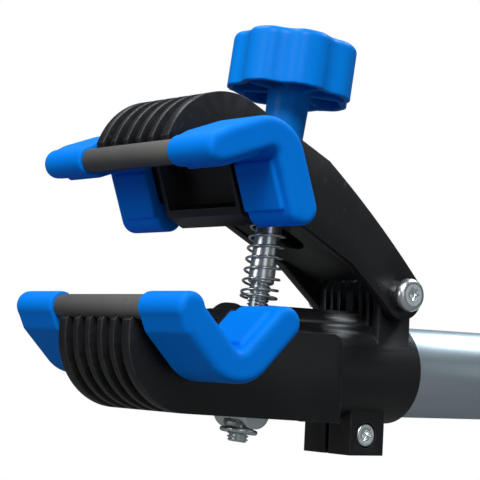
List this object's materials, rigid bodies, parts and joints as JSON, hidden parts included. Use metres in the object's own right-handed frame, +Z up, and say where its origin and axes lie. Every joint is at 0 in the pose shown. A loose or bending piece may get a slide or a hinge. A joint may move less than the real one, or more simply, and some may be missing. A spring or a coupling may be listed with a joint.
{
  "type": "bike repair stand clamp head",
  "caption": "Clamp head of a bicycle repair stand: two V jaws with soft pads and nose ribs, closed by a screw knob, pinched on a round arm tube.",
  "frame": {"origin": "on the arm tube's axis, at the rear face of the clamp collar", "axes": "+X along the arm tube towards the stand (the jaws point to -X), +Z up through the knob side, +Y to the left of someone looking along +X"},
  "size_m": [0.2804, 0.1048, 0.1562],
  "materials": {
    "blue_rubber": "soft moulded rubber, satin",
    "black_plastic": "fine spark-eroded grain",
    "grey_rubber": "matt rubber tube",
    "blue_plastic": "semi-gloss moulded plastic",
    "anodised_tube": "satin anodised",
    "zinc_steel": "bright zinc plated",
    "spring_steel": "bright drawn wire",
    "bar_steel": "plain steel rod",
    "plug_plastic": "moulded, matt"
  },
  "bodies": {
    "arm": {"arm_tube": "anodised_tube", "tube_end_plug": "plug_plastic"},
    "lower_jaw": {"lower_jaw_frame": "black_plastic", "lower_pad_left": "blue_rubber", "lower_pad_right": "blue_rubber", "lower_bar_rod": "bar_steel", "lower_bar_sleeve": "grey_rubber", "pivot_bush": "zinc_steel", "pivot_bolt": "zinc_steel", "pivot_nut": "zinc_steel", "pinch_screw": "zinc_steel", "pinch_nut": "zinc_steel"},
    "upper_jaw": {"upper_jaw_frame": "black_plastic", "upper_pad_left": "blue_rubber", "upper_pad_right": "blue_rubber", "upper_bar_rod": "bar_steel", "upper_bar_sleeve": "grey_rubber"},
    "stud": {"clamp_stud": "zinc_steel", "trunnion_barrel": "zinc_steel", "stud_nut": "zinc_steel", "stud_retainer": "zinc_steel", "clamp_spring": "spring_steel"},
    "saddle": {"saddle_block": "zinc_steel", "thrust_washer": "zinc_steel"},
    "knob_body": {"knob": "blue_plastic", "knob_sleeve": "zinc_steel"}
  },
  "joints": [
    {"name": "head_spin", "type": "hinge", "parent": "arm", "child": "lower_jaw", "pos_m": [0, 0, 0], "axis": [1, 0, 0], "continuous": true},
    {"name": "jaw_swing", "type": "hinge", "parent": "lower_jaw", "child": "upper_jaw", "pos_m": [-0.013, 0, 0.02915], "axis": [0, -1, 0], "range_deg": [0, 20.2]},
    {"name": "stud_swing", "type": "hinge", "parent": "lower_jaw", "child": "stud", "pos_m": [-0.0704, 0, -0.0166], "axis": [0, -1, 0], "range_deg": [0, 8.77]},
    {"name": "knob_travel", "type": "slide", "parent": "stud", "child": "saddle", "axis": [-0.1282, 0, -0.9918], "range_m": [0, 0.01937], "deforming": ["clamp_spring"]},
    {"name": "knob_turn", "type": "hinge", "parent": "saddle", "child": "knob_body", "pos_m": [-0.05817, 0, 0.078], "axis": [-0.1282, 0, -0.9918], "range_deg": [0, 5577.7]}
  ],
  "couplings": [
    {"joint": "knob_travel", "follows": "knob_turn", "m_per_rad": 0.00019894},
    {"joint": "jaw_swing", "follows": "knob_turn", "ratio": 0.0036215},
    {"joint": "stud_swing", "follows": "knob_turn", "ratio": 0.0015722}
  ]
}
